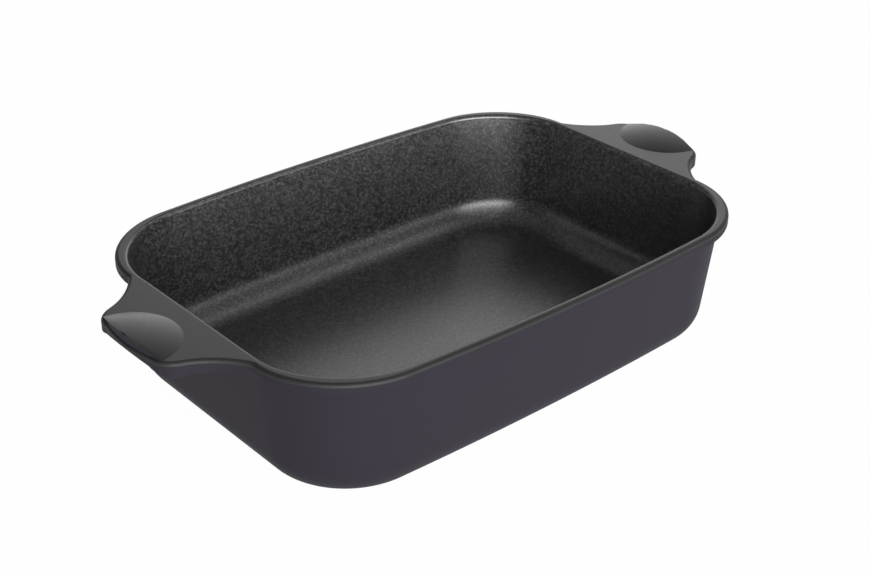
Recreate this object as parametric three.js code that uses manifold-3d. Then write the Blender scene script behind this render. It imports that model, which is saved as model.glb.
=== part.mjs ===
// Open roasting pan in cast aluminium: drafted walls under a rounded rim, two wing handles that grow out
// of the rim with a domed thumb pad on each, a nonstick coat over everything that faces up, and a
// perforated steel sole plate held by studs of the casting.
// Millimetres, +Z up. The origin is under the middle of the base, with the handles along X.

import * as THREE from 'three';
import { mergeVertices, toCreasedNormals } from 'three/addons/utils/BufferGeometryUtils.js';
import Module from 'manifold-3d';

const wasm = await Module();
wasm.setup();

// Mouth of the pan, at the inner edge of the flat on top of the rim
const openingLength = 330;
const openingWidth = 231.5;
const openingCornerRadius = 57.3;

// The long sides swell outwards between the corners, more at the mouth than at the base
const mouthBow = 7.7;
const baseBow = 4.6;

// Walls and floor
const rimHeight = 80.2;
const wallThickness = 2.6;
const wallDraft = THREE.MathUtils.degToRad(6.6);
const floorThickness = 5;
const innerFloorFillet = 20;
const outerFloorFillet = 20.4;

// Rim, whose tighter corners make it widest there
const rimWidth = 3.2;
const rimCornerRadius = 55.4;
const rimThickness = 6.5;
const rimNoseRadius = 2.2;
const rimFootRadius = 1.1;
const rimInnerRadius = 2.4;
const rimCoveRadius = 1.2;

// Wing handles. The tip is thick at its corners and thin in the middle, where the underside arches.
const handleReach = 38.4;
const handleTipWidth = 63.5;
const handleTipBow = 2.3;
const handleCornerRadius = 11.5;
const handleFlankAngle = THREE.MathUtils.degToRad(20.7);
const handleFlankLength = 16.5;
const handleNeckLead = 1.5;
const handleTipThickness = 9.5;
const handleArchThickness = 3.4;

// Domed thumb pads, centred near the tip of each handle
const padRadius = 28.6;
const padHeight = 4.5;
const padSetback = 2.5;
const padLipInset = 1.2;

// Nonstick coat
const coatThickness = 0.4;

// Sole plate and the studs that hold it
const plateLength = 240;
const plateWidth = 150;
const plateCornerRadius = 28;
const plateThickness = 1.2;
const plateClearance = 0.3;
const studDiameter = 7;
const studClearance = 0.3;
const studPitch = 27;
const studEdgeDistance = 12;

// Facets
const endSteps = { tip: 3, corner: 2, neck: 7 };
const cornerSteps = 8;
const sideSteps = 3;
const filletSteps = 5;
const noseSteps = 3;
const coveSteps = 2;
const padSteps = 5;
const padSides = 36;
const studSides = 8;
const creaseAngle = THREE.MathUtils.degToRad(35);

const halfLength = openingLength / 2;
const halfWidth = openingWidth / 2;
const wallSlope = Math.tan(wallDraft);
const wallStretch = 1 / Math.cos(wallDraft);

// Rounded rectangle with swelling long sides, given by half its length and width. It returns the quarter
// from the middle of the +X end to the middle of the +Y side.
function swellingQuarter(length, width, radius, bow, endStations) {
  const points = endStations.map((s) => new THREE.Vector2(length, s * (width - radius)));
  for (let i = 1; i <= cornerSteps; i++) {
    const angle = (Math.PI / 2) * (i / cornerSteps);
    const x = length - radius + radius * Math.cos(angle);
    const y = width - radius + radius * Math.sin(angle);
    points.push(new THREE.Vector2(x, y));
  }
  for (let i = 1; i <= sideSteps; i++) {
    points.push(new THREE.Vector2((length - radius) * (1 - i / sideSteps), width));
  }
  return points.map(({ x, y }) => new THREE.Vector2(x, y - (bow * y / width) * (x / length) ** 2));
}

// Outline of the walls at one height, offset outwards from the mouth
function wallQuarter(offset, height, endStations) {
  const radius = openingCornerRadius + offset;
  const bow = THREE.MathUtils.lerp(baseBow, mouthBow, height / rimHeight);
  return swellingQuarter(halfLength + offset, halfWidth + offset, radius, bow, endStations);
}

// Outline of the rim without its wings
const rimQuarter = (endStations) => swellingQuarter(
  halfLength + rimWidth, halfWidth + rimWidth, rimCornerRadius, mouthBow, endStations,
);

// Half of a wing handle's plan outline, from the middle of its tip to where it leaves the rim at root
function wingHalf(root) {
  const tip = new THREE.Vector2(halfLength + rimWidth + handleReach, 0);
  const edge = new THREE.Vector2(tip.x - handleTipBow, handleTipWidth / 2 - handleCornerRadius);
  const corner = new THREE.Vector2(edge.x, handleTipWidth / 2);
  const flank = new THREE.Vector2(-Math.cos(handleFlankAngle), Math.sin(handleFlankAngle));
  const shoulder = corner.clone().addScaledVector(flank, handleCornerRadius);
  const stretches = [
    [new THREE.QuadraticBezierCurve(tip, new THREE.Vector2(tip.x, edge.y / 2), edge), endSteps.tip],
    [new THREE.QuadraticBezierCurve(edge, corner, shoulder), endSteps.corner],
    [new THREE.CubicBezierCurve(
      shoulder,
      shoulder.clone().addScaledVector(flank, handleFlankLength),
      new THREE.Vector2(root.x, root.y - handleNeckLead),
      root,
    ), endSteps.neck],
  ];
  return [tip, ...stretches.flatMap(([curve, steps]) => curve.getPoints(steps).slice(1))];
}

const wing = wingHalf(rimQuarter([1])[0]);
const stations = wing.map((point) => point.y / wing.at(-1).y);

// The whole outline from its quarter, counter-clockwise seen from above
function mirrorQuarter(quarter) {
  const half = [...quarter, ...quarter.slice(0, -1).reverse().map(({ x, y }) => new THREE.Vector2(-x, y))];
  return [...half.slice(0, -1), ...half.slice(1).reverse().map(({ x, y }) => new THREE.Vector2(x, -y))];
}

const wallRing = (offset, height) => ringAt(mirrorQuarter(wallQuarter(offset, height, stations)), height);

// Outer outline of the rim with both wings, moved inwards along its own normals
function rimOutline(inset) {
  const plain = rimQuarter(stations).slice(wing.length);
  const points = mirrorQuarter([...wing, ...plain]);
  return points.map((point, i) => {
    const before = points.at(i - 1);
    const after = points[(i + 1) % points.length];
    const along = after.clone().sub(before).normalize();
    return new THREE.Vector2(point.x - along.y * inset, point.y + along.x * inset);
  });
}

// Rings in space from an outline at one height, or at a height that follows the outline
const ringAt = (points, height) => points.map(({ x, y }) => new THREE.Vector3(x, y, height));
const centre = (height) => [new THREE.Vector3(0, 0, height)];

// Underside of the rim, which drops towards the corners of the wings and arches between them
function undersideRing(inset, rise) {
  return rimOutline(inset).map(({ x, y }) => {
    const reach = Math.max(0, Math.abs(x) - halfLength - rimWidth) / handleReach;
    const aside = Math.min(1, Math.abs(y) / (handleTipWidth / 2));
    const tipThickness = THREE.MathUtils.lerp(handleArchThickness, handleTipThickness, aside ** 2);
    const thickness = THREE.MathUtils.lerp(rimThickness, tipThickness, reach);
    return new THREE.Vector3(x, y, rimHeight - thickness + rise);
  });
}

// Triangles with three different corners; a fan towards a single point leaves some with two
function wholeTriangles(index) {
  const kept = [];
  for (let t = 0; t < index.length; t += 3) {
    const corners = index.slice(t, t + 3);
    if (new Set(corners).size === 3) kept.push(...corners);
  }
  return kept;
}

// One closed skin over a stack of rings. A ring of a single point closes an end, and each facet between two
// rings is split along its shorter diagonal, so that two skins over the same rings meet face to face.
function loft(rings) {
  const points = rings.flat();
  const index = [];
  let start = 0;
  for (let j = 0; j + 1 < rings.length; j++) {
    const lower = rings[j].length;
    const upper = rings[j + 1].length;
    const count = Math.max(lower, upper);
    for (let i = 0; i < count; i++) {
      const k = (i + 1) % count;
      const [a, b] = lower > 1 ? [start + i, start + k] : [start, start];
      const [d, c] = upper > 1 ? [start + lower + i, start + lower + k] : [start + lower, start + lower];
      if (points[a].distanceTo(points[c]) < points[b].distanceTo(points[d])) {
        index.push(a, b, c, a, c, d);
      } else {
        index.push(a, b, d, b, c, d);
      }
    }
    start += lower;
  }
  const geometry = new THREE.BufferGeometry();
  const positions = points.flatMap((point) => point.toArray());
  geometry.setAttribute('position', new THREE.Float32BufferAttribute(positions, 3));
  geometry.setIndex(wholeTriangles(index));
  return geometry;
}

// Solids for joining and cutting, and back to a mesh geometry
function solid(geometry) {
  const bare = geometry.clone();
  bare.deleteAttribute('normal');
  bare.deleteAttribute('uv');
  const merged = mergeVertices(bare, 1e-4);
  return new wasm.Manifold(new wasm.Mesh({
    numProp: 3,
    vertProperties: new Float32Array(merged.getAttribute('position').array),
    triVerts: new Uint32Array(merged.getIndex().array),
  }));
}

function surface(body) {
  const { numProp, vertProperties, triVerts } = body.getMesh();
  const geometry = new THREE.BufferGeometry();
  const positions = [];
  for (let i = 0; i < vertProperties.length; i += numProp) {
    positions.push(vertProperties[i], vertProperties[i + 1], vertProperties[i + 2]);
  }
  geometry.setAttribute('position', new THREE.Float32BufferAttribute(positions, 3));
  geometry.setIndex([...triVerts]);
  return toCreasedNormals(geometry, creaseAngle);
}

// Rings round a floor fillet, from the floor up to the drafted wall. The wall stands at wallOffset where
// it would meet height zero.
function filletRings(radius, floorHeight, wallOffset, steps, outset = 0) {
  const centreHeight = floorHeight + radius;
  const centreOffset = wallOffset + centreHeight * wallSlope - radius * wallStretch;
  const rings = [];
  for (let i = 0; i <= steps; i++) {
    const angle = THREE.MathUtils.lerp(-Math.PI / 2, -wallDraft, i / steps);
    const offset = centreOffset + (radius + outset) * Math.cos(angle);
    rings.push(wallRing(offset, centreHeight + (radius + outset) * Math.sin(angle)));
  }
  return rings;
}

const innerWallTop = rimHeight - rimInnerRadius;
const innerWallOffset = -rimInnerRadius - innerWallTop * wallSlope;
const outerWallOffset = innerWallOffset + wallThickness;

// The surface that faces the food, from the middle of the floor to the inner edge of the rim's flat,
// sunk into the metal by depth
function cookingRings(depth) {
  const edge = [];
  for (let i = 0; i <= noseSteps; i++) {
    const angle = THREE.MathUtils.lerp(Math.PI, Math.PI / 2, i / noseSteps);
    const radius = rimInnerRadius - depth;
    edge.push(wallRing(radius * Math.cos(angle), innerWallTop + radius * Math.sin(angle)));
  }
  return [
    centre(floorThickness - depth),
    ...filletRings(innerFloorFillet, floorThickness, innerWallOffset, filletSteps, depth),
    ...edge,
  ];
}

// Upper half of the rounded edge of rim and wings, from the flat on top down to the widest line
const coatEdgeAngle = Math.acos(1 - coatThickness / rimNoseRadius);

function noseRing(angle) {
  const inset = rimNoseRadius * (1 - Math.sin(angle));
  return ringAt(rimOutline(inset), rimHeight - rimNoseRadius * (1 - Math.cos(angle)));
}

// Outside of the casting, from the middle of the base to the edge of the coat on top of the rim
function outsideRings() {
  const coveFoot = rimHeight - rimThickness - rimCoveRadius;
  const coveOffset = outerWallOffset + coveFoot * wallSlope;
  const cove = [];
  for (let i = 0; i <= coveSteps; i++) {
    const angle = (Math.PI / 2) * (i / coveSteps);
    const offset = coveOffset + rimCoveRadius * (1 - Math.cos(angle));
    cove.push(wallRing(offset, coveFoot + rimCoveRadius * Math.sin(angle)));
  }
  const under = [];
  for (let i = 0; i <= noseSteps; i++) {
    const angle = (Math.PI / 2) * (i / noseSteps);
    under.push(undersideRing(rimFootRadius * (1 - Math.sin(angle)), rimFootRadius * (1 - Math.cos(angle))));
  }
  return [
    centre(0),
    ...filletRings(outerFloorFillet, 0, outerWallOffset, filletSteps),
    ...cove,
    ...under,
    noseRing(Math.PI / 2),
    noseRing((Math.PI / 2 + coatEdgeAngle) / 2),
    noseRing(coatEdgeAngle),
  ];
}

// Domed thumb pad at one end of the pan, end being 1 or -1. Its dome is cut from a sphere, and depth sinks
// it into the metal.
const padCentre = halfLength + rimWidth + handleReach - padSetback;
const domeRadius = (padRadius ** 2 + padHeight ** 2) / (2 * padHeight);
const domeSpread = Math.asin(padRadius / domeRadius);
const padFoot = rimHeight - rimNoseRadius;

const padAxis = (end, height) => [new THREE.Vector3(end * padCentre, 0, height)];

function padCircle(end, radius, height) {
  const ring = [];
  for (let i = 0; i < padSides; i++) {
    const angle = (2 * Math.PI * i) / padSides;
    const x = end * padCentre + radius * Math.cos(angle);
    ring.push(new THREE.Vector3(x, radius * Math.sin(angle), height));
  }
  return ring;
}

// Rings over the dome, from its edge to its middle
function domeRings(end, depth) {
  const top = rimHeight + padHeight - depth;
  const rings = [];
  for (let i = 0; i < padSteps; i++) {
    const angle = domeSpread * (1 - i / padSteps);
    const height = top - domeRadius * (1 - Math.cos(angle));
    rings.push(padCircle(end, domeRadius * Math.sin(angle), height));
  }
  rings.push(padAxis(end, top));
  return rings;
}

// The dome ends at the tip of the wing, a little inside its rounded edge
function trimToWing(body) {
  const outline = rimOutline(padLipInset);
  const ceiling = rimHeight + 2 * padHeight;
  return body.intersect(solid(loft([
    centre(padFoot),
    ringAt(outline, padFoot),
    ringAt(outline, ceiling),
    centre(ceiling),
  ])));
}

function padMetal(end) {
  const foot = [padAxis(end, padFoot), padCircle(end, padRadius, padFoot)];
  return trimToWing(solid(loft([...foot, ...domeRings(end, coatThickness)])));
}

function padCoat(end) {
  const back = domeRings(end, coatThickness).reverse();
  return trimToWing(solid(loft([...back, ...domeRings(end, 0)])));
}

function padWindow(end) {
  const ceiling = rimHeight + padHeight;
  return solid(loft([
    padAxis(end, padFoot),
    padCircle(end, padRadius, padFoot),
    padCircle(end, padRadius, ceiling),
    padAxis(end, ceiling),
  ]));
}

// Rounded rectangle for the sole plate and its pocket
function plateShape(clearance) {
  const x = plateLength / 2 + clearance;
  const y = plateWidth / 2 + clearance;
  const r = plateCornerRadius + clearance;
  const shape = new THREE.Shape();
  shape.moveTo(-x + r, -y);
  shape.lineTo(x - r, -y);
  shape.absarc(x - r, -y + r, r, -Math.PI / 2, 0);
  shape.absarc(x - r, y - r, r, 0, Math.PI / 2);
  shape.absarc(-x + r, y - r, r, Math.PI / 2, Math.PI);
  shape.absarc(-x + r, -y + r, r, Math.PI, Math.PI * 1.5);
  return shape;
}

// Stud places: staggered rows over the plate, clear of its edge and its round corners
function studPlaces() {
  const rowPitch = studPitch * Math.sin(Math.PI / 3);
  const keepX = plateLength / 2 - studEdgeDistance;
  const keepY = plateWidth / 2 - studEdgeDistance;
  const keepR = Math.max(0, plateCornerRadius - studEdgeDistance);
  const rows = Math.floor(keepY / rowPitch);
  const columns = Math.ceil(keepX / studPitch);
  const places = [];
  for (let row = -rows; row <= rows; row++) {
    for (let column = -columns; column <= columns; column++) {
      const shift = row % 2 === 0 ? 0.5 : 0;
      const x = (column + shift) * studPitch;
      const y = row * rowPitch;
      const overX = Math.max(0, Math.abs(x) - keepX + keepR);
      const overY = Math.max(0, Math.abs(y) - keepY + keepR);
      if (Math.hypot(overX, overY) <= keepR) places.push(new THREE.Vector2(x, y));
    }
  }
  return places;
}

// Outline of a stud, or of the hole round it
function studOutline(place, radius) {
  const points = [];
  for (let i = 0; i < studSides; i++) {
    const angle = (2 * Math.PI * i) / studSides;
    points.push(new THREE.Vector2(place.x + radius * Math.cos(angle), place.y + radius * Math.sin(angle)));
  }
  return points;
}

const straight = { bevelEnabled: false, curveSegments: cornerSteps };

function panCasting() {
  const mouth = plateShape(plateClearance);
  const pocket = new THREE.ExtrudeGeometry(mouth, { ...straight, depth: 2 * plateThickness });
  pocket.translate(0, 0, -plateThickness);
  let body = solid(loft([...outsideRings(), ...cookingRings(coatThickness).reverse()]));
  body = body.subtract(solid(pocket));
  const studHeight = (plateThickness + floorThickness) / 2;
  for (const place of studPlaces()) {
    const shape = new THREE.Shape(studOutline(place, studDiameter / 2));
    const stud = new THREE.ExtrudeGeometry(shape, { ...straight, depth: studHeight });
    body = body.add(solid(stud));
  }
  for (const end of [1, -1]) body = body.add(padMetal(end));
  return surface(body);
}

function nonstickCoat() {
  let body = solid(loft([
    ...cookingRings(coatThickness),
    noseRing(coatEdgeAngle),
    noseRing(0),
    ...cookingRings(0).reverse(),
  ]));
  for (const end of [1, -1]) {
    body = body.subtract(padWindow(end)).add(padCoat(end));
  }
  return surface(body);
}

function solePlate() {
  const shape = plateShape(0);
  for (const place of studPlaces()) {
    shape.holes.push(new THREE.Path(studOutline(place, studDiameter / 2 + studClearance)));
  }
  return new THREE.ExtrudeGeometry(shape, { ...straight, depth: plateThickness });
}

function piece(name, geometry, color, roughness, metalness) {
  const material = new THREE.MeshStandardMaterial({ color, roughness, metalness });
  const mesh = new THREE.Mesh(geometry, material);
  mesh.name = name;
  return mesh;
}

const roaster = new THREE.Group();
roaster.add(
  piece('pan_casting', panCasting(), '#444149', 0.5, 0),
  piece('nonstick_lining', nonstickCoat(), '#232325', 0.42, 0),
  piece('sole_plate', solePlate(), '#a8a7a3', 0.38, 1),
);

export default roaster;
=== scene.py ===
"""Looks of an open roasting pan in cast aluminium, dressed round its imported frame.

Sizes in the classes are in millimetres, as on a drawing, and every mesh is written in metres. +X runs along
the pan through both handles, +Z is up, and the pan stands on z = 0.
"""

import logging
import math
from dataclasses import dataclass
from enum import Enum
from typing import Any

import bmesh
import bpy
import numpy as np
from mathutils import Matrix, Vector


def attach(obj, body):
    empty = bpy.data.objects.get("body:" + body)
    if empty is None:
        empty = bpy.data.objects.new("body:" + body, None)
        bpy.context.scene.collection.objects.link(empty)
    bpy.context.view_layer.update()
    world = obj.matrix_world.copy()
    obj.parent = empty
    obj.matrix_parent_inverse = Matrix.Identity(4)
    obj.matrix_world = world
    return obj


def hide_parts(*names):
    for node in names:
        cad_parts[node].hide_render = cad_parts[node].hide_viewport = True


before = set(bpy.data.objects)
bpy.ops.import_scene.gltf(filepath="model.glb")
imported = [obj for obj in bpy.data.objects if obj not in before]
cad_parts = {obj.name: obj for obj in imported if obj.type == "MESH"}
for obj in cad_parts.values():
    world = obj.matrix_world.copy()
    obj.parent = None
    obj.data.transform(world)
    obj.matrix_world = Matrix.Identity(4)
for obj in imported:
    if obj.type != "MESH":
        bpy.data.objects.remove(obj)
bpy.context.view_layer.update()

LOG = logging.getLogger("roasting_pan")
MM = 0.001
BODY = "root"
SHARP_ANGLE = math.radians(14)
WELD_M = 2e-7
Tree = bpy.types.NodeTree
Socket = bpy.types.NodeSocket

# Sockets of the colour form of a Mix node, whose names its other forms share
MIX_SHARE, MIX_LOW, MIX_HIGH, MIX_RESULT = 0, 6, 7, 2


class Slot(Enum):
    """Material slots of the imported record."""

    CASTING = "lacquered_aluminium"
    COAT = "nonstick_coat"
    SOLE = "sole_steel"


class Node(Enum):
    """Solids of the frame that the dressed pieces stand for."""

    CASTING = "pan_casting"
    COAT = "nonstick_lining"
    SOLE = "sole_plate"


class Coat(Enum):
    """Material index on the nonstick coat's mesh."""

    FLECKED = 0
    PLAIN = 1
    OVERSPRAY_AND_SHEEN = 2


def linear(hex_colour: str) -> tuple[float, float, float, float]:
    """Turn an sRGB hex colour into linear RGBA.

    Args:
        hex_colour: Colour such as "#3a3a3c".

    Returns:
        Linear red, green, blue and an alpha of 1.
    """
    parts = [int(hex_colour[i:i + 2], 16) / 255 for i in (1, 3, 5)]
    r, g, b = (c / 12.92 if c <= 0.04045 else ((c + 0.055) / 1.055) ** 2.4 for c in parts)
    return (r, g, b, 1.0)


def add_node(
    tree: Tree,
    kind: str,
    settings: dict[str | int, Any] | None = None,
    links: dict[str | int, Socket] | None = None,
) -> bpy.types.Node:
    """Add a node with its settings and links.

    Args:
        tree: Node tree that takes the node.
        kind: Type name of the node.
        settings: Values by input name or number, or by property name.
        links: Output sockets by the input name or number that they feed.

    Returns:
        The new node.
    """
    node = tree.nodes.new(kind)
    for name, value in (settings or {}).items():
        if isinstance(name, int) or name in node.inputs:
            node.inputs[name].default_value = value
        else:
            setattr(node, name, value)
    for name, source in (links or {}).items():
        tree.links.new(source, node.inputs[name])
    return node


def calculate(tree: Tree, operation: str, *terms: Socket | float) -> Socket:
    """Calculate with sockets and numbers.

    Args:
        tree: Node tree.
        operation: Name of the operation.
        terms: Its terms in order.

    Returns:
        The result.
    """
    numbers = {i: term for i, term in enumerate(terms) if isinstance(term, float)}
    sockets = {i: term for i, term in enumerate(terms) if i not in numbers}
    return add_node(tree, "ShaderNodeMath", {"operation": operation, **numbers}, sockets).outputs[0]


def blank_tree(owner: bpy.types.ID) -> Tree:
    """Empty the node tree of a material or world.

    Args:
        owner: Material or world.

    Returns:
        Its empty tree.
    """
    owner.use_nodes = True
    owner.node_tree.nodes.clear()
    return owner.node_tree


def on_piece(tree: Tree) -> Socket:
    """Coordinates on the piece itself, in metres."""
    return add_node(tree, "ShaderNodeTexCoord").outputs["Object"]


def noise(tree: Tree, place: Socket, size_mm: float, detail: float, roughness: float = 0.5) -> Socket:
    """Add noise with waves of a given size.

    Args:
        tree: Node tree.
        place: Coordinates in metres.
        size_mm: Size of the largest waves in millimetres.
        detail: Number of finer layers.
        roughness: Weight of each layer against the one before it.

    Returns:
        The noise, from 0 to 1.
    """
    settings = {"Scale": 1 / (size_mm * MM), "Detail": detail, "Roughness": roughness}
    return add_node(tree, "ShaderNodeTexNoise", settings, {"Vector": place}).outputs["Fac"]


def blend(tree: Tree, share: Socket, low: str, high: str) -> Socket:
    """Blend two colours.

    Args:
        tree: Node tree.
        share: Share of the second colour.
        low: First colour as sRGB hex.
        high: Second colour as sRGB hex.

    Returns:
        The colour.
    """
    settings = {"data_type": "RGBA", MIX_LOW: linear(low), MIX_HIGH: linear(high)}
    return add_node(tree, "ShaderNodeMix", settings, {MIX_SHARE: share}).outputs[MIX_RESULT]


def vary(tree: Tree, share: Socket, middle: float, swing: float) -> Socket:
    """Vary a value to both sides of its middle.

    Args:
        tree: Node tree.
        share: Pattern from 0 to 1.
        middle: Middle of the value.
        swing: How far it goes to either side.

    Returns:
        The value.
    """
    settings = {"To Min": middle - swing, "To Max": middle + swing}
    return add_node(tree, "ShaderNodeMapRange", settings, {"Value": share}).outputs["Result"]


def bump(tree: Tree, height: Socket, depth_mm: float, under: Socket | None = None) -> Socket:
    """Add fine relief to a surface.

    Args:
        tree: Node tree.
        height: Pattern from 0 to 1.
        depth_mm: Depth of the relief in millimetres.
        under: Normal of the coarser relief under it.

    Returns:
        The normal.
    """
    links = {"Height": height} if under is None else {"Height": height, "Normal": under}
    settings = {"Strength": 1.0, "Distance": depth_mm * MM}
    return add_node(tree, "ShaderNodeBump", settings, links).outputs["Normal"]


def end_in_shader(tree: Tree, settings: dict[str, float], links: dict[str, Socket]) -> None:
    """End a material's tree in its shader.

    Args:
        tree: Node tree of the material.
        settings: Values that are the same all over the surface, by the shader's input.
        links: Sockets of what varies over it, by the shader's input.
    """
    shader = add_node(tree, "ShaderNodeBsdfPrincipled", settings, links)
    add_node(tree, "ShaderNodeOutputMaterial", None, {"Surface": shader.outputs["BSDF"]})


@dataclass(frozen=True)
class Lacquer:
    """Stoved lacquer on cast aluminium, sprayed over a blasted casting.

    It gives the eye a dark grey with a purple tinge, an even matt sheen with a faint orange peel, and a grain
    of the casting just under it. The matting powder in such a lacquer breaks up its mirror, so its specular
    level is below that of clear resin.
    """

    colour: str = "#28252d"
    shade: str = "#252229"
    roughness: float = 0.6
    roughness_swing: float = 0.05
    ior: float = 1.45
    specular_level: float = 0.12
    mottle_mm: float = 9.0
    peel_mm: float = 2.2
    grain_mm: float = 0.7
    peel_depth_mm: float = 0.012
    grain_depth_mm: float = 0.006

    def material(self) -> bpy.types.Material:
        """Build the lacquer.

        Returns:
            The material.
        """
        made = bpy.data.materials.new("stoved_lacquer_on_cast_aluminium")
        tree = blank_tree(made)
        place = on_piece(tree)
        mottle = noise(tree, place, self.mottle_mm, detail=3.0, roughness=0.55)
        peel = noise(tree, place, self.peel_mm, detail=1.0)
        grain = noise(tree, place, self.grain_mm, detail=2.0)
        peeled = bump(tree, peel, self.peel_depth_mm)
        end_in_shader(tree, {"IOR": self.ior, "Specular IOR Level": self.specular_level}, {
            "Base Color": blend(tree, mottle, self.shade, self.colour),
            "Roughness": vary(tree, grain, self.roughness, self.roughness_swing),
            "Normal": bump(tree, grain, self.grain_depth_mm, under=peeled),
        })
        return made


@dataclass(frozen=True)
class PlainNonstick:
    """Baked fluoropolymer nonstick without flecks, on the rim and the handles.

    It gives the eye a near black that is lit almost wholly by what it mirrors: soft, wide and neutral.
    """

    name: str = "baked_nonstick_plain"
    colour: str = "#171717"
    shade: str = "#131313"
    roughness: float = 0.28
    roughness_swing: float = 0.03
    ior: float = 1.42
    cloud_mm: float = 6.0
    grain_mm: float = 0.6
    grain_depth_mm: float = 0.004

    def material(self) -> bpy.types.Material:
        """Build the plain coat.

        Returns:
            The material.
        """
        made = bpy.data.materials.new(self.name)
        tree = blank_tree(made)
        place = on_piece(tree)
        cloud = noise(tree, place, self.cloud_mm, detail=2.0)
        grain = noise(tree, place, self.grain_mm, detail=2.0)
        end_in_shader(tree, {"IOR": self.ior}, {
            "Base Color": blend(tree, cloud, self.shade, self.colour),
            "Roughness": vary(tree, cloud, self.roughness, self.roughness_swing),
            "Normal": bump(tree, grain, self.grain_depth_mm),
        })
        return made


# Thin dry spray at the edge of the coat, round the rim's nose: rougher, so its highlight is wide and soft.
# Its grey is lighter than the plain coat's, which is painted sheen that fills the dark band in the nose's
# reflection
OVERSPRAY_AND_SHEEN = PlainNonstick(
    name="baked_nonstick_overspray_and_painted_sheen", colour="#1f1f1f", shade="#1b1b1b", roughness=0.55,
)


@dataclass(frozen=True)
class FleckedNonstick:
    """Baked fluoropolymer nonstick with mineral flecks, sprayed in coats on the cooking surface.

    It gives the eye a near black ground, close-set soft flecks of uneven grey, and a fine pebbled skin. The
    mica among the minerals mirrors more than the resin does, so the specular level is above that of resin.
    The flecks are a few tenths of a millimetre across on such a coat, and are drawn about a millimetre across
    so that they show in the render.
    """

    ground: str = "#070707"
    fleck: str = "#474747"
    roughness: float = 0.31
    roughness_swing: float = 0.06
    ior: float = 1.6
    specular_level: float = 1.0
    fleck_mm: float = 1.1
    skew: float = 1.8
    pebble_mm: float = 1.6
    pebble_depth_mm: float = 0.035

    def material(self) -> bpy.types.Material:
        """Build the flecked coat, in which a higher skew leaves fewer flecks pale.

        Returns:
            The material.
        """
        made = bpy.data.materials.new("baked_nonstick_flecked")
        tree = blank_tree(made)
        place = on_piece(tree)
        scale = 1 / (self.fleck_mm * MM)
        cells = add_node(tree, "ShaderNodeTexVoronoi", {"Scale": scale}, {"Vector": place})
        chance = add_node(tree, "ShaderNodeSeparateColor", None, {"Color": cells.outputs["Color"]})
        paleness = calculate(tree, "POWER", chance.outputs["Red"], self.skew)
        pebble = noise(tree, place, self.pebble_mm, detail=2.5, roughness=0.6)
        end_in_shader(tree, {"IOR": self.ior, "Specular IOR Level": self.specular_level}, {
            "Base Color": blend(tree, paleness, self.ground, self.fleck),
            "Roughness": vary(tree, pebble, self.roughness, self.roughness_swing),
            "Normal": bump(tree, pebble, self.pebble_depth_mm),
        })
        return made


@dataclass(frozen=True)
class SoleSteel:
    """Ferritic stainless steel sheet, punched, pressed into the base and faced on a lathe.

    It gives the eye a pale warm grey metal with fine turned rings, drawn coarser than the real tool marks so
    that they show.
    """

    colour: str = "#bdbab4"
    shade: str = "#a5a29c"
    roughness: float = 0.34
    roughness_swing: float = 0.08
    ring_mm: float = 0.8
    ring_depth_mm: float = 0.01

    def material(self) -> bpy.types.Material:
        """Build the steel.

        Returns:
            The material.
        """
        made = bpy.data.materials.new("turned_stainless_sole")
        tree = blank_tree(made)
        radius = add_node(tree, "ShaderNodeVectorMath", {"operation": "LENGTH"}, {0: on_piece(tree)})
        rings = add_node(tree, "ShaderNodeTexNoise", {
            "noise_dimensions": "1D", "Scale": 1 / (self.ring_mm * MM), "Detail": 3.0,
        }, {"W": radius.outputs["Value"]}).outputs["Fac"]
        end_in_shader(tree, {"Metallic": 1.0}, {
            "Base Color": blend(tree, rings, self.shade, self.colour),
            "Roughness": vary(tree, rings, self.roughness, self.roughness_swing),
            "Normal": bump(tree, rings, self.ring_depth_mm),
        })
        return made


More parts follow.
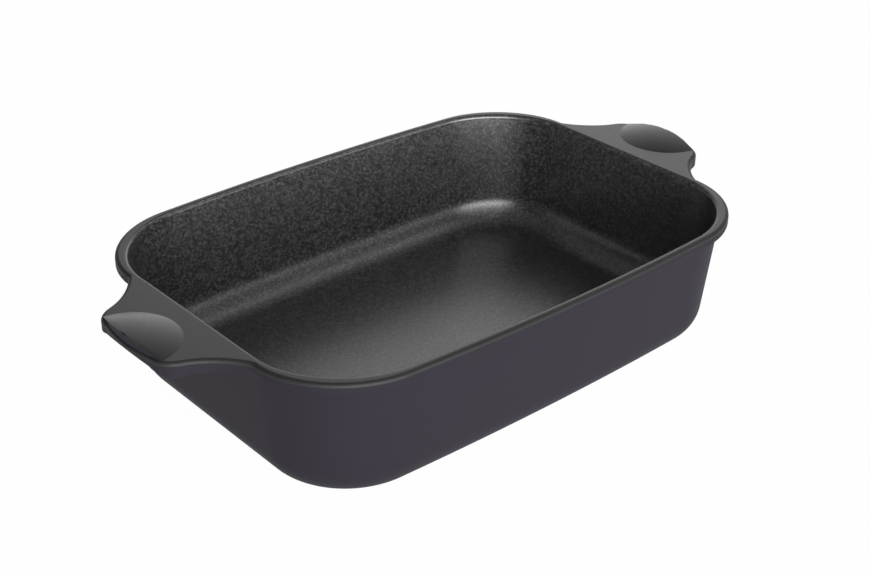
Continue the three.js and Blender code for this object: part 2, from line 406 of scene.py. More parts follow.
@dataclass(frozen=True)
class PanForm:
    """Plan outlines and heights that the casting and its coat share."""

    # Mouth, walls and floor
    opening_length: float = 330.0
    opening_width: float = 231.5
    corner_radius: float = 57.3
    mouth_bow: float = 7.7
    base_bow: float = 4.6
    rim_height: float = 80.2
    wall: float = 2.6
    draft: float = math.radians(6.6)
    floor: float = 5.0
    inner_fillet: float = 20.0
    outer_fillet: float = 20.4
    # Rim
    rim_width: float = 3.2
    rim_corner: float = 55.4
    rim_thickness: float = 6.5
    nose_radius: float = 2.2
    foot_radius: float = 1.1
    inner_radius: float = 2.4
    cove_radius: float = 1.2
    # Wing handles
    handle_reach: float = 38.4
    tip_width: float = 63.5
    tip_bow: float = 2.3
    tip_corner: float = 11.5
    flank_angle: float = math.radians(20.7)
    flank_length: float = 16.5
    neck_lead: float = 1.5
    tip_thickness: float = 9.5
    arch_thickness: float = 3.4
    # Thickness of the nonstick coat
    coat: float = 0.4
    # Facets, and how far from a rounding the ring stands that keeps the flat beside it flat
    support: float = 1.2
    tip_steps: int = 24
    tip_corner_steps: int = 14
    neck_steps: int = 44
    corner_steps: int = 44
    side_steps: int = 30
    inner_fillet_steps: int = 20
    inner_edge_steps: int = 12

    @property
    def half(self) -> np.ndarray:
        """Half of the mouth's length and width."""
        return np.array([self.opening_length, self.opening_width]) / 2

    @property
    def coat_edge(self) -> float:
        """Angle round the rim's nose at which the coat ends."""
        return math.acos(1 - self.coat / self.nose_radius)

    def inner_offset(self, height: float) -> float:
        """Offset of the inner wall from the mouth at a height."""
        top = self.rim_height - self.inner_radius
        return -self.inner_radius - (top - height) * math.tan(self.draft)

    def outer_offset(self, height: float) -> float:
        """Offset of the outer wall from the mouth at a height."""
        return self.inner_offset(height) + self.wall

    def quarter(self, size: np.ndarray, radius: float, bow: float, stations: np.ndarray) -> np.ndarray:
        """Outline a quarter of a rounded rectangle, from the middle of its +X end to that of its +Y side.

        Args:
            size: Half of its length and width.
            radius: Radius of its corners.
            bow: How far its long sides swell outwards between the corners.
            stations: Places along the straight of the end, from 0 to 1.

        Returns:
            Points as rows of x and y.
        """
        end = np.stack([np.full_like(stations, size[0]), stations * (size[1] - radius)], 1)
        turn = np.linspace(0, math.pi / 2, self.corner_steps + 1)[1:]
        corner = size - radius + radius * np.stack([np.cos(turn), np.sin(turn)], 1)
        run = np.linspace(1, 0, self.side_steps + 1)[1:]
        side = np.stack([(size[0] - radius) * run, np.full_like(run, size[1])], 1)
        points = np.concatenate([end, corner, side])
        share = points / size
        points[:, 1] -= bow * share[:, 1] * share[:, 0] ** 2
        return points

    def rim_quarter(self, stations: np.ndarray) -> np.ndarray:
        """Outline a quarter of the rim without its wing."""
        return self.quarter(self.half + self.rim_width, self.rim_corner, self.mouth_bow, stations)

    def wing_half(self) -> np.ndarray:
        """Outline half of a wing handle, from the middle of its tip to where it leaves the rim.

        Returns:
            Points as rows of x and y.
        """
        root = self.rim_quarter(np.ones(1))[0]
        tip = np.array([self.half[0] + self.rim_width + self.handle_reach, 0.0])
        edge = np.array([tip[0] - self.tip_bow, self.tip_width / 2 - self.tip_corner])
        corner = np.array([edge[0], self.tip_width / 2])
        flank = np.array([-math.cos(self.flank_angle), math.sin(self.flank_angle)])
        shoulder = corner + flank * self.tip_corner
        lead = np.array([root[0], root[1] - self.neck_lead])
        runs = (
            ((tip, np.array([tip[0], edge[1] / 2]), edge), self.tip_steps),
            ((edge, corner, shoulder), self.tip_corner_steps),
            ((shoulder, shoulder + flank * self.flank_length, lead, root), self.neck_steps),
        )
        points = [tip[None]]
        for controls, steps in runs:
            t = np.linspace(0, 1, steps + 1)[1:, None]
            order = len(controls) - 1
            points.append(sum(
                math.comb(order, k) * (1 - t) ** (order - k) * t ** k * c for k, c in enumerate(controls)
            ))
        return np.concatenate(points)

    def stations(self) -> np.ndarray:
        """Places along the straight of the end that line up with the wing's points."""
        y = self.wing_half()[:, 1]
        return y / y[-1]

    def wall_ring(self, offset: float, height: float) -> np.ndarray:
        """Ring of the wall at a height.

        Args:
            offset: Distance outwards from the mouth.
            height: Height over the base.

        Returns:
            Points as rows of x, y and z.
        """
        bow = self.base_bow + (self.mouth_bow - self.base_bow) * height / self.rim_height
        outline = self.quarter(self.half + offset, self.corner_radius + offset, bow, self.stations())
        return ring_at(mirror(outline), height)

    def rim_outline(self, inset: float) -> np.ndarray:
        """Outline the rim with both wings.

        Args:
            inset: Distance inwards along the outline's own normals.

        Returns:
            Points as rows of x and y, counter-clockwise.
        """
        wing = self.wing_half()
        plain = self.rim_quarter(self.stations())[len(wing):]
        points = mirror(np.concatenate([wing, plain]))
        along = np.roll(points, -1, 0) - np.roll(points, 1, 0)
        along /= np.linalg.norm(along, axis=1, keepdims=True)
        return points + inset * np.stack([-along[:, 1], along[:, 0]], 1)

    def plate_outline(self, length: float, width: float, radius: float) -> np.ndarray:
        """Outline of a rounded rectangle with the points of the other outlines."""
        return mirror(self.quarter(np.array([length, width]) / 2, radius, 0.0, self.stations()))

    def underside(self, inset: float, rise: float) -> np.ndarray:
        """Ring on the underside of the rim, which drops to the wings' corners and arches between them.

        Args:
            inset: Distance inwards from the outline.
            rise: Distance over the underside.

        Returns:
            Points as rows of x, y and z.
        """
        points = self.rim_outline(inset)
        reach = np.clip(np.abs(points[:, 0]) - self.half[0] - self.rim_width, 0, None) / self.handle_reach
        aside = np.clip(np.abs(points[:, 1]) / (self.tip_width / 2), 0, 1)
        tip = self.arch_thickness + (self.tip_thickness - self.arch_thickness) * aside ** 2
        thickness = self.rim_thickness + (tip - self.rim_thickness) * reach
        return np.column_stack([points, self.rim_height - thickness + rise])

    def nose(self, angle: float) -> np.ndarray:
        """Ring on the rounded outer edge of rim and wings, by its angle from the flat on top."""
        inset = self.nose_radius * (1 - math.sin(angle))
        return ring_at(self.rim_outline(inset), self.rim_height - self.nose_radius * (1 - math.cos(angle)))

    def fillet(
        self, radius: float, base: float, foot: float, steps: int, outset: float = 0.0,
    ) -> list[np.ndarray]:
        """Rings round a fillet between a floor and the drafted wall.

        Args:
            radius: Radius of the fillet.
            base: Height of the floor.
            foot: Offset of the wall where it would meet height zero.
            steps: Facets round the fillet.
            outset: Distance outwards from the fillet's own surface.

        Returns:
            Rings from the floor to the wall.
        """
        height = base + radius
        middle = foot + height * math.tan(self.draft) - radius / math.cos(self.draft)
        reach = radius + outset
        rings = []
        for angle in np.linspace(-math.pi / 2, -self.draft, steps + 1):
            rings.append(self.wall_ring(middle + reach * math.cos(angle), height + reach * math.sin(angle)))
        return rings

    def cooking_rings(self, depth: float) -> list[np.ndarray]:
        """Rings of the surface that faces the food.

        Args:
            depth: Depth into the metal.

        Returns:
            Rings from the floor to the inner edge of the rim's flat.
        """
        foot = self.inner_offset(0.0)
        fillet = self.fillet(self.inner_fillet, self.floor, foot, self.inner_fillet_steps, depth)
        fillet_middle = self.inner_offset(self.floor + self.inner_fillet)
        flat_edge = fillet_middle - self.inner_fillet / math.cos(self.draft)
        rings = [self.wall_ring(flat_edge - self.support, self.floor - depth)] + fillet
        sideways = depth / math.cos(self.draft)
        edge_foot = self.rim_height - self.inner_radius
        for height in (fillet[-1][0, 2] + self.support, edge_foot - self.support):
            rings.append(self.wall_ring(self.inner_offset(height) + sideways, height))
        radius = self.inner_radius - depth
        for angle in np.linspace(math.pi, math.pi / 2, self.inner_edge_steps + 1):
            rings.append(self.wall_ring(radius * math.cos(angle), edge_foot + radius * math.sin(angle)))
        return rings


def mirror(quarter: np.ndarray) -> np.ndarray:
    """Make a whole outline of its first quarter.

    Args:
        quarter: Points from the middle of the +X end to the middle of the +Y side.

    Returns:
        Points all round, counter-clockwise.
    """
    half = np.concatenate([quarter, quarter[-2::-1] * (-1, 1)])
    return np.concatenate([half[:-1], half[:0:-1] * (1, -1)])


def ring_at(outline: np.ndarray, height: float) -> np.ndarray:
    """Lift a plan outline to a height."""
    return np.column_stack([outline, np.full(len(outline), height)])


def skin(rings: list[np.ndarray], first: int) -> list[tuple[int, ...]]:
    """Face a stack of rings as one closed skin, with a single face over each end.

    Args:
        rings: Rings of equal length, from the bottom up as seen from outside.
        first: Number of the first point.

    Returns:
        Corner numbers of each face.
    """
    count = len(rings[0])
    faces: list[tuple[int, ...]] = [tuple(first + i for i in range(count))[::-1]]
    for j in range(len(rings) - 1):
        low, high = first + j * count, first + (j + 1) * count
        for i in range(count):
            k = (i + 1) % count
            faces.append((low + i, low + k, high + k, high + i))
    last = first + (len(rings) - 1) * count
    faces.append(tuple(last + i for i in range(count)))
    return faces


def mesh_of(name: str, shells: list[list[np.ndarray]]) -> bpy.types.Mesh:
    """Write closed skins as one mesh in metres.

    Args:
        name: Name of the mesh.
        shells: Stacks of rings in millimetres, one for each skin.

    Returns:
        The mesh, with doubled points merged.
    """
    faces: list[tuple[int, ...]] = []
    first = 0
    for rings in shells:
        faces += skin(rings, first)
        first += sum(len(ring) for ring in rings)
    points = np.concatenate([ring for rings in shells for ring in rings])
    mesh = bpy.data.meshes.new(name)
    mesh.from_pydata((points * MM).tolist(), [], faces)
    work = bmesh.new()
    work.from_mesh(mesh)
    bmesh.ops.remove_doubles(work, verts=work.verts, dist=WELD_M)
    bmesh.ops.dissolve_degenerate(work, edges=work.edges, dist=WELD_M)
    work.to_mesh(mesh)
    work.free()
    return mesh


def placed(name: str, mesh: bpy.types.Mesh) -> bpy.types.Object:
    """Put a mesh in the scene, smooth except across sharp edges.

    Args:
        name: Name of the object.
        mesh: Its mesh.

    Returns:
        The object.
    """
    made = bpy.data.objects.new(name, mesh)
    bpy.context.scene.collection.objects.link(made)
    mesh.shade_smooth()
    mesh.set_sharp_from_angle(angle=SHARP_ANGLE)
    return made


def carve(piece: bpy.types.Object, cutter: bpy.types.Mesh) -> None:
    """Cut one mesh out of a piece.

    Args:
        piece: Object that is cut.
        cutter: Closed mesh of the cut.
    """
    tool = bpy.data.objects.new("cutter", cutter)
    bpy.context.scene.collection.objects.link(tool)
    cut = piece.modifiers.new("cut", "BOOLEAN")
    cut.operation, cut.solver, cut.object = "DIFFERENCE", "EXACT", tool
    bpy.context.view_layer.update()
    result = bpy.data.meshes.new_from_object(piece.evaluated_get(bpy.context.evaluated_depsgraph_get()))
    piece.modifiers.remove(cut)
    piece.data = result
    bpy.data.objects.remove(tool)
    result.set_sharp_from_angle(angle=SHARP_ANGLE)


def graft(piece: bpy.types.Object, extra: bpy.types.Mesh, coat: Coat) -> None:
    """Add a second mesh to a piece's own.

    Args:
        piece: Object that takes the mesh.
        extra: Mesh to add.
        coat: Coat on its faces.
    """
    for face in extra.polygons:
        face.material_index = coat.value
    extra.shade_smooth()
    extra.set_sharp_from_angle(angle=SHARP_ANGLE)
    work = bmesh.new()
    work.from_mesh(piece.data)
    work.from_mesh(extra)
    work.to_mesh(piece.data)
    work.free()


def settle(piece: bpy.types.Object, node: Node) -> bpy.types.Object:
    """Ride a piece on the pan in place of its solid.

    Args:
        piece: Dressed piece.
        node: Solid that it stands for.

    Returns:
        The piece.
    """
    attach(piece, BODY)
    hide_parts(node.value)
    LOG.info("%s: %d faces", piece.name, len(piece.data.polygons))
    return piece


@dataclass
class ThumbPad:
    """Domed thumb pad near the tip of one wing handle."""

    form: PanForm
    end: int
    radius: float = 28.6
    height: float = 4.5
    setback: float = 2.5
    lip_inset: float = 1.2
    # Rounding of the lip, no more than a share of the dome's height there
    lip_round: float = 0.9
    lip_share: float = 0.6
    # Angle round the lip, from the top, at which the coat ends
    coat_turn: float = math.radians(55)
    lip_steps: int = 48
    back_steps: int = 132
    dome_steps: int = 22
    round_steps: int = 9

    @property
    def centre(self) -> float:
        """Distance of the pad's middle from the middle of the pan."""
        return self.form.half[0] + self.form.rim_width + self.form.handle_reach - self.setback

    def rise(self, radius: np.ndarray) -> np.ndarray:
        """Height of the dome over the rim's flat at a distance from its middle."""
        sphere = (self.radius ** 2 + self.height ** 2) / (2 * self.height)
        return self.height - sphere + np.sqrt(sphere ** 2 - radius ** 2)

    def rounding(self, reach: np.ndarray) -> np.ndarray:
        """Radius of the lip's rounded edge where the dome reaches so far."""
        return np.minimum(self.lip_round, self.lip_share * self.rise(reach))

    def spread(self) -> tuple[np.ndarray, np.ndarray]:
        """Find how far the dome reaches in each direction before the tip of the wing cuts it.

        Returns:
            Directions round the pad's middle, from the tip, and the reach in each.
        """
        lip = self.form.rim_outline(self.lip_inset)
        at_tip = lip[:, 0] > self.centre - 2 * self.setback
        near = lip[at_tip & (np.abs(lip[:, 1]) < self.form.tip_width / 2)]
        near = near[np.argsort(near[:, 1])] - (self.centre, 0)
        far = np.hypot(near[:, 0], near[:, 1])
        bearing = np.arctan2(near[:, 1], near[:, 0])
        corner = np.interp(self.radius, far[bearing > 0], bearing[bearing > 0])
        front = np.linspace(-corner, corner, self.lip_steps + 1)
        back = np.linspace(corner, 2 * math.pi - corner, self.back_steps + 1)[1:-1]
        reach = np.minimum(np.interp(front, bearing, far), self.radius)
        return np.concatenate([front, back]), np.concatenate([reach, np.full(len(back), self.radius)])

    def ring(self, bearing: np.ndarray, radius: np.ndarray, height: np.ndarray | float) -> np.ndarray:
        """Ring of points round the pad's middle, turned round for the other end.

        Args:
            bearing: Direction of each point from the middle.
            radius: Distance of each point from the middle.
            height: Height over the base, of each point or of all.

        Returns:
            Points as rows of x, y and z.
        """
        x = self.centre + radius * np.cos(bearing)
        y = radius * np.sin(bearing)
        points = np.column_stack([x, y, np.broadcast_to(height, x.shape)])
        return points if self.end > 0 else points * (-1, -1, 1)

    def lip(self, angle: float, reach: np.ndarray) -> tuple[np.ndarray, np.ndarray]:
        """Find one line along the rounded edge of the lip.

        Args:
            angle: Angle round the edge, from the top.
            reach: Reach of the dome in each direction.

        Returns:
            Distance from the pad's middle and height over the base in each direction.
        """
        round_radius = self.rounding(reach)
        top = self.rise(reach - round_radius)
        radius = reach - round_radius * (1 - math.sin(angle))
        return radius, self.form.rim_height + top - round_radius * (1 - math.cos(angle))

    def dome(self, bearing: np.ndarray, reach: np.ndarray, depth: float) -> list[np.ndarray]:
        """Rings over the dome, from near its middle to the start of the lip's edge.

        Args:
            bearing: Directions round the pad's middle.
            reach: Reach of the dome in each.
            depth: Depth into the pad.

        Returns:
            Rings from the middle outwards.
        """
        inner = reach - self.rounding(reach)
        rings = []
        for share in np.linspace(0, 1, self.dome_steps + 1)[1:]:
            radius = inner * share
            rings.append(self.ring(bearing, radius, self.form.rim_height + self.rise(radius) - depth))
        return rings

    def coat_rings(self) -> list[np.ndarray]:
        """Rings of the coat over the dome, from its back in the middle to its face in the middle.

        Returns:
            Rings from the bottom up.
        """
        bearing, reach = self.spread()
        edge = [
            self.ring(bearing, *self.lip(angle, reach))
            for angle in np.linspace(self.coat_turn, 0, self.round_steps + 1)
        ]
        return self.dome(bearing, reach, self.form.coat) + edge + self.dome(bearing, reach, 0.0)[-2::-1]

    def metal_rings(self) -> list[np.ndarray]:
        """Rings of the metal under the coat, from its foot to the middle of its top.

        Returns:
            Rings from the bottom up.
        """
        bearing, reach = self.spread()
        foot = self.ring(bearing, reach, self.form.rim_height - self.form.nose_radius)
        edge = [
            self.ring(bearing, *self.lip(angle, reach))
            for angle in np.linspace(math.pi / 2, self.coat_turn, self.round_steps + 1)
        ]
        base = self.ring(bearing, reach, self.form.rim_height - self.form.coat)
        back = slice(self.lip_steps + 1, None)
        for ring in edge:
            ring[:, 2] = np.maximum(ring[:, 2], base[:, 2])
            ring[back] = base[back]
        return [foot] + edge + self.dome(bearing, reach, self.form.coat)[::-1]

    def window_rings(self) -> list[np.ndarray]:
        """Rings of the round window that the pad leaves in the flat coat.

        Returns:
            Rings from the bottom up.
        """
        bearing = self.spread()[0]
        reach = np.full_like(bearing, self.radius)
        top, depth = self.form.rim_height, 2 * self.form.coat
        return [self.ring(bearing, reach, height) for height in (top - depth, top + depth)]


@dataclass
class Sole:
    """Perforated steel plate in the base, and the studs that hold it."""

    form: PanForm
    length: float = 240.0
    width: float = 150.0
    corner: float = 28.0
    thickness: float = 1.2
    clearance: float = 0.3
    stud: float = 7.0
    stud_clearance: float = 0.3
    pitch: float = 27.0
    edge_distance: float = 12.0
    chamfer: float = 0.15
    sides: int = 40
    # Rounded foot of a stud: inset and height of its rings, in chamfers
    stud_foot: tuple[tuple[float, float], ...] = ((3.0, 0.0), (1.0, 0.3), (0.0, 1.5))
    # Size of the ring that keeps the pocket's roof flat, against the pocket
    roof_share: float = 0.98
    weld_m: float = 1e-6
    finish: SoleSteel = SoleSteel()

    def places(self) -> list[tuple[float, float]]:
        """Places of the studs: staggered rows, clear of the plate's edge and its round corners.

        Returns:
            Pairs of x and y.
        """
        row_pitch = self.pitch * math.sin(math.pi / 3)
        keep_x = self.length / 2 - self.edge_distance
        keep_y = self.width / 2 - self.edge_distance
        keep_r = max(0.0, self.corner - self.edge_distance)
        rows, columns = int(keep_y / row_pitch), math.ceil(keep_x / self.pitch)
        found = []
        for row in range(-rows, rows + 1):
            for column in range(-columns, columns + 1):
                x = (column + (0.5 if row % 2 == 0 else 0.0)) * self.pitch
                y = row * row_pitch
                over = (max(0.0, abs(x) - keep_x + keep_r), max(0.0, abs(y) - keep_y + keep_r))
                if math.hypot(*over) <= keep_r:
                    found.append((x, y))
        return found

    def circle(self, radius: float) -> np.ndarray:
        """Points round a circle."""
        angle = np.arange(self.sides) * 2 * math.pi / self.sides
        return radius * np.stack([np.cos(angle), np.sin(angle)], 1)

    def pocket_rings(self) -> list[np.ndarray]:
        """Rings of the pocket in the casting, from the middle of its roof to its mouth.

        Returns:
            Rings from the roof down to the base.
        """
        gap = 2 * self.clearance
        mouth = self.form.plate_outline(self.length + gap, self.width + gap, self.corner + self.clearance)
        roof = ring_at(mouth * self.roof_share, self.thickness)
        return [roof, ring_at(mouth, self.thickness), ring_at(mouth, 0.0)]

    def stud_rings(self) -> list[list[np.ndarray]]:
        """Rings of every stud, each from its pressed face up to the roof of the pocket.

        Returns:
            One stack of rings for each stud.
        """
        radius = self.stud / 2
        profile = [(radius - inset * self.chamfer, rise * self.chamfer) for inset, rise in self.stud_foot]
        profile.append((radius, self.thickness))
        return [[ring_at(self.circle(r) + place, z) for r, z in profile] for place in self.places()]

    def plate(self) -> bpy.types.Mesh:
        """Cut the plate with its holes out of the flat and chamfer its edges.

        Returns:
            The mesh.
        """
        curve = bpy.data.curves.new("sole", "CURVE")
        curve.dimensions, curve.fill_mode = "2D", "BOTH"
        both = 2 * self.chamfer
        edge = self.form.plate_outline(self.length - both, self.width - both, self.corner - self.chamfer)
        hole = self.circle(self.stud / 2 + self.stud_clearance + self.chamfer)
        for outline in [edge] + [hole + place for place in self.places()]:
            spline = curve.splines.new("POLY")
            spline.points.add(len(outline) - 1)
            flat = np.column_stack([outline * MM, np.zeros(len(outline)), np.ones(len(outline))])
            spline.points.foreach_set("co", flat.ravel())
            spline.use_cyclic_u = True
        curve.bevel_depth, curve.bevel_resolution = self.chamfer * MM, 1
        curve.extrude = (self.thickness / 2 - self.chamfer) * MM
        drawn = bpy.data.objects.new("sole_drawn", curve)
        bpy.context.scene.collection.objects.link(drawn)
        bpy.context.view_layer.update()
        mesh = bpy.data.meshes.new_from_object(drawn.evaluated_get(bpy.context.evaluated_depsgraph_get()))
        mesh.transform(Matrix.Translation((0, 0, self.thickness / 2 * MM)))
        bpy.data.objects.remove(drawn)
        work = bmesh.new()
        work.from_mesh(mesh)
        bmesh.ops.remove_doubles(work, verts=work.verts, dist=self.weld_m)
        bmesh.ops.recalc_face_normals(work, faces=work.faces)
        work.to_mesh(mesh)
        work.free()
        mesh.materials.clear()
        return mesh

    def build(self) -> bpy.types.Object:
        """Build the plate and give it its steel.

        Returns:
            The dressed piece.
        """
        piece = placed("induction_sole", self.plate())
        piece.data.materials.append(self.finish.material())
        return settle(piece, Node.SOLE)


@dataclass
class Casting:
    """The pan itself: floor, walls, rim, wing handles and studs, poured as one piece."""

    form: PanForm
    pads: list[ThumbPad]
    sole: Sole
    finish: Lacquer = Lacquer()
    # Rougher edge coat for the rim's nose, its lighter grey partly painted sheen
    overspray_and_sheen: PlainNonstick = OVERSPRAY_AND_SHEEN
    fillet_steps: int = 18
    nose_steps: int = 14
    cove_steps: int = 10

    def outside(self) -> list[np.ndarray]:
        """Rings from the middle of the base up to the edge of the coat.

        Returns:
            Rings from the bottom up.
        """
        form = self.form
        foot = form.outer_offset(0.0)
        fillet = form.fillet(form.outer_fillet, 0.0, foot, self.fillet_steps)
        fillet_top = fillet[-1][0, 2]
        cove_foot = form.rim_height - form.rim_thickness - form.cove_radius
        flat_edge = form.outer_offset(form.outer_fillet) - form.outer_fillet / math.cos(form.draft)
        rings = self.sole.pocket_rings()
        rings.append(form.wall_ring(flat_edge - form.support, 0.0))
        rings += fillet
        for height in (fillet_top + form.support, cove_foot - form.support):
            rings.append(form.wall_ring(form.outer_offset(height), height))
        for angle in np.linspace(0, math.pi / 2, self.cove_steps + 1):
            offset = form.outer_offset(cove_foot) + form.cove_radius * (1 - math.cos(angle))
            rings.append(form.wall_ring(offset, cove_foot + form.cove_radius * math.sin(angle)))
        for angle in np.linspace(0, math.pi / 2, self.nose_steps + 1):
            inset = form.foot_radius * (1 - math.sin(angle))
            rings.append(form.underside(inset, form.foot_radius * (1 - math.cos(angle))))
        for angle in np.linspace(math.pi / 2, form.coat_edge, self.nose_steps + 1):
            rings.append(form.nose(angle))
        return rings

    def build(self) -> bpy.types.Object:
        """Build the casting and lacquer it.

        Returns:
            The dressed piece.
        """
        outside = self.outside()
        shells = [outside + self.form.cooking_rings(self.form.coat)[::-1]]
        shells += [pad.metal_rings() for pad in self.pads]
        shells += self.sole.stud_rings()
        piece = placed("cast_pan", mesh_of("cast_pan", shells))
        for finish in (self.finish, self.overspray_and_sheen):
            piece.data.materials.append(finish.material())
        self.dress(piece.data, len(outside))
        return settle(piece, Node.CASTING)

    def dress(self, mesh: bpy.types.Mesh, outside: int) -> None:
        """Give the rim's nose the coat's dry edge spray, which is too thin there for a solid of its own, in a
        lighter grey that is partly painted sheen.

        Args:
            mesh: Mesh of the casting.
            outside: Number of rings up to the edge of the coat.
        """
        count = len(self.form.wall_ring(0.0, 0.0))
        for face in mesh.polygons:
            ring = (face.index - 1) // count
            # The rim's nose takes the dry edge spray, whose lighter grey is partly painted sheen
            face.material_index = int(outside - 1 - self.nose_steps <= ring < outside - 1)


@dataclass
class Lining:
    """The nonstick coat over everything that faces up."""

    form: PanForm
    pads: list[ThumbPad]
    flecked: FleckedNonstick = FleckedNonstick()
    plain: PlainNonstick = PlainNonstick()
    # Rougher edge coat for the rim's nose, its lighter grey partly painted sheen
    overspray_and_sheen: PlainNonstick = OVERSPRAY_AND_SHEEN
    nose_steps: int = 6
    # How far inside each edge of the rim's flat the ring stands that keeps it flat
    flat_support: float = 0.4
    # Share of the mouth's rounded edge, from its top, that stays without flecks
    plain_share: float = 0.15

    def build(self) -> bpy.types.Object:
        """Build the coat with its windows and the coat over the pads.

        Returns:
            The dressed piece.
        """
        form = self.form
        back = form.cooking_rings(form.coat)
        front = form.cooking_rings(0.0)
        nose = [form.nose(angle) for angle in np.linspace(form.coat_edge, 0, self.nose_steps + 1)]
        flat = [
            ring_at(form.rim_outline(form.nose_radius + self.flat_support), form.rim_height),
            form.wall_ring(self.flat_support, form.rim_height),
        ]
        shell = placed("nonstick_coat", mesh_of("coat_shell", [back + nose + flat + front[::-1]]))
        for finish in (self.flecked, self.plain, self.overspray_and_sheen):
            shell.data.materials.append(finish.material())
        self.dress(shell.data, len(back))
        for pad in self.pads:
            carve(shell, mesh_of("window", [pad.window_rings()]))
        for pad in self.pads:
            graft(shell, mesh_of("coat_cap", [pad.coat_rings()]), Coat.PLAIN)
        return settle(shell, Node.COAT)

    def dress(self, mesh: bpy.types.Mesh, back: int) -> None:
        """Give the mouth's inside the flecked coat, the rim's nose the dry edge spray, whose lighter grey is
        partly painted sheen, and the rest the plain coat.

        Args:
            mesh: Mesh of the coat's shell.
            back: Number of rings on the coat's back, before those of the nose.
        """
        edge = (self.form.rim_height - self.plain_share * self.form.inner_radius) * MM
        count = len(self.form.wall_ring(0.0, 0.0))
        for face in mesh.polygons:
            if back <= (face.index - 1) // count < back + self.nose_steps:
                # The rim's nose takes the dry edge spray, whose lighter grey is partly painted sheen
                coat = Coat.OVERSPRAY_AND_SHEEN
            else:
                coat = Coat.PLAIN if face.center.z > edge else Coat.FLECKED
            face.material_index = coat.value


@dataclass(frozen=True)
class PhotoCamera:
    """Camera at the photograph's angle, with the photograph's frame.

    Angles are in degrees, and an azimuth of 0 looks along +Y.
    """

    azimuth: float = -41.42
    elevation: float = 29.19
    distance: float = 877.36
    target: tuple[float, float, float] = (1.16, -2.37, 38.787)
    focal_px: float = 1466.15
    roll: float = 0.72
    image_width: int = 870
    sensor: float = 36.0
    clip_m: tuple[float, float] = (0.05, 50.0)

    def place(self) -> bpy.types.Object:
        """Place the camera and make it the scene's own.

        Returns:
            The camera.
        """
        a, e = math.radians(self.azimuth), math.radians(self.elevation)
        back = Vector((math.sin(a) * math.cos(e), -math.cos(a) * math.cos(e), math.sin(e)))
        data = bpy.data.cameras.new("photo_camera")
        data.sensor_width = self.sensor
        data.lens = self.focal_px * self.sensor / self.image_width
        data.clip_start, data.clip_end = self.clip_m
        camera = bpy.data.objects.new("photo_camera", data)
        bpy.context.scene.collection.objects.link(camera)
        level = (-back).to_track_quat("-Z", "Y").to_matrix()
        camera.matrix_world = (
            Matrix.Translation((Vector(self.target) + back * self.distance) * MM)
            @ (level @ Matrix.Rotation(math.radians(self.roll), 3, "Z")).to_4x4()
        )
        bpy.context.scene.camera = camera
        return camera


@dataclass(frozen=True)
class Panel:
    """A tall soft panel of studio light.

    Its middle, half width and soft edge are in degrees round the pan, counter-clockwise from +X. Its levels
    belong to the studio's elevations, from the horizon up.
    """

    azimuth: float
    half_width: float
    soft: float
    levels: tuple[float, ...]


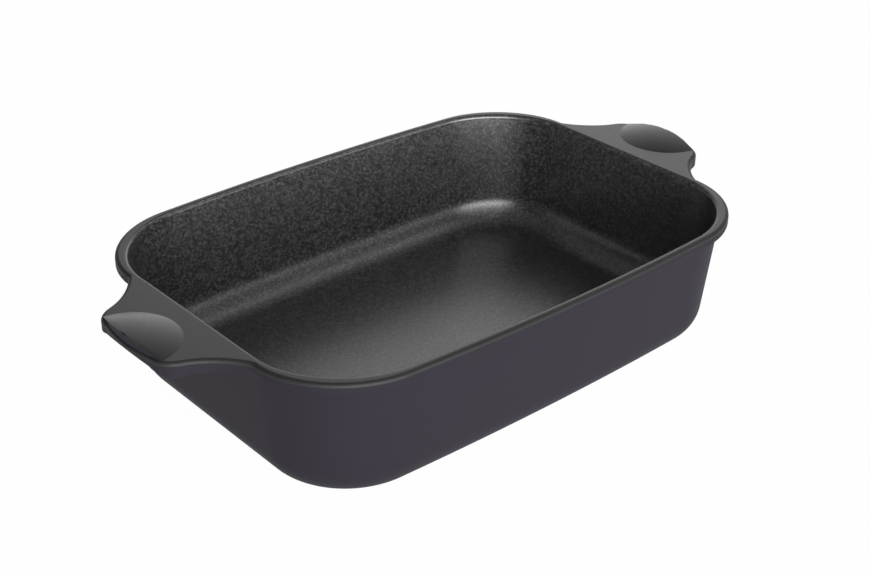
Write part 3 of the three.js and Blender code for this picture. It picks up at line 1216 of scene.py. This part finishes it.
@dataclass(frozen=True)
class Studio:
    """White board under the pan, a dim room, a broad low panel in front, and two weak ones at the right."""

    floor_colour: str = "#fafafa"
    floor_white: float = 0.98
    floor_size_m: float = 12.0
    # Gap under the base, so that base and floor don't share a plane
    floor_gap: float = 0.2
    # Levels of light at these elevations in degrees, from the horizon to the zenith
    elevations: tuple[float, ...] = (0, 8, 18, 30, 45, 62, 90)
    room: tuple[float, ...] = (0.6, 0.05, 0.05, 0.11, 0.23, 0.18, 0.11)
    panels: tuple[Panel, ...] = (
        Panel(azimuth=-107, half_width=38, soft=18, levels=(13.0, 11.0, 6.8, 2.1, 0.7, 0.35, 0.25)),
        Panel(azimuth=-16, half_width=16, soft=16, levels=(0.0, 0.0, 0.1, 0.4, 0.8, 0.7, 0.2)),
        Panel(azimuth=42, half_width=28, soft=20, levels=(1.4, 1.4, 1.35, 1.15, 0.75, 0.1, 0.0)),
    )

    def floor(self) -> bpy.types.Object:
        """Lay the floor: matt white board that is white in the picture and still takes the pan's shadow.

        Returns:
            The floor.
        """
        reach = self.floor_size_m / 2
        corners = [(-reach, -reach, 0), (reach, -reach, 0), (reach, reach, 0), (-reach, reach, 0)]
        mesh = bpy.data.meshes.new("floor")
        mesh.from_pydata(corners, [], [(0, 1, 2, 3)])
        board = bpy.data.materials.new("matt_white_board")
        tree = blank_tree(board)
        path = add_node(tree, "ShaderNodeLightPath")
        seen = path.outputs["Is Camera Ray"]
        for ray in ("Is Glossy Ray", "Is Transmission Ray"):
            seen = calculate(tree, "MAXIMUM", seen, path.outputs[ray])
        share = calculate(tree, "MULTIPLY", seen, self.floor_white)
        matt = add_node(tree, "ShaderNodeBsdfDiffuse", {"Color": linear(self.floor_colour)})
        white = add_node(tree, "ShaderNodeEmission", {"Strength": 1.0})
        mixed = add_node(tree, "ShaderNodeMixShader", None, {
            0: share, 1: matt.outputs[0], 2: white.outputs[0],
        })
        add_node(tree, "ShaderNodeOutputMaterial", None, {"Surface": mixed.outputs[0]})
        mesh.materials.append(board)
        laid = bpy.data.objects.new("floor", mesh)
        bpy.context.scene.collection.objects.link(laid)
        laid.location.z = -self.floor_gap * MM
        return laid

    def graded(self, tree: Tree, height: Socket, levels: tuple[float, ...]) -> Socket:
        """Grade light with elevation.

        Args:
            tree: Node tree of the world.
            height: Elevation as a share of a right angle.
            levels: Level at each of the studio's elevations.

        Returns:
            The level.
        """
        peak = max(levels)
        ramp = add_node(tree, "ShaderNodeValToRGB", None, {"Fac": height})
        stops = ramp.color_ramp.elements
        for i, (elevation, level) in enumerate(zip(self.elevations, levels)):
            position = elevation / self.elevations[-1]
            stop = stops[i] if i < len(stops) else stops.new(position)
            stop.position, stop.color = position, (level / peak,) * 3 + (1.0,)
        return calculate(tree, "MULTIPLY", ramp.outputs["Color"], peak)

    def share(self, tree: Tree, bearing: Socket, panel: Panel) -> Socket:
        """Find how far a direction is inside a panel's width.

        Args:
            tree: Node tree of the world.
            bearing: Angle of the direction round the pan, in radians.
            panel: The panel.

        Returns:
            Share from 0 outside to 1 inside.
        """
        middle = math.radians(panel.azimuth)
        near = calculate(tree, "WRAP", bearing, middle + math.pi, middle - math.pi)
        away = calculate(tree, "ABSOLUTE", calculate(tree, "SUBTRACT", near, middle))
        return add_node(tree, "ShaderNodeMapRange", {
            "interpolation_type": "SMOOTHSTEP",
            "From Min": math.radians(panel.half_width + panel.soft),
            "From Max": math.radians(panel.half_width - panel.soft),
        }, {"Value": away}).outputs["Result"]

    def light(self) -> None:
        """Light the room and its panels."""
        world = bpy.data.worlds.new("studio")
        bpy.context.scene.world = world
        tree = blank_tree(world)
        way = add_node(tree, "ShaderNodeTexCoord").outputs["Generated"]
        parts = add_node(tree, "ShaderNodeSeparateXYZ", None, {"Vector": way})
        height = calculate(tree, "DIVIDE", calculate(tree, "ARCSINE", parts.outputs["Z"]), math.pi / 2)
        bearing = calculate(tree, "ARCTAN2", parts.outputs["Y"], parts.outputs["X"])
        total = self.graded(tree, height, self.room)
        for panel in self.panels:
            level = self.graded(tree, height, panel.levels)
            total = calculate(tree, "MULTIPLY_ADD", self.share(tree, bearing, panel), level, total)
        sky = add_node(tree, "ShaderNodeBackground", {"Color": linear("#ffffff")}, {"Strength": total})
        add_node(tree, "ShaderNodeOutputWorld", None, {"Surface": sky.outputs["Background"]})


def main() -> None:
    """Build the pan, the studio and the camera."""
    logging.basicConfig(level=logging.INFO, format="%(name)s %(message)s")
    PhotoCamera().place()
    form = PanForm()
    pads = [ThumbPad(form, 1), ThumbPad(form, -1)]
    sole = Sole(form)
    Casting(form, pads, sole).build()
    Lining(form, pads).build()
    sole.build()
    studio = Studio()
    studio.floor()
    studio.light()
    bpy.context.scene.view_settings.view_transform = "Standard"


if __name__ == "__main__":
    main()
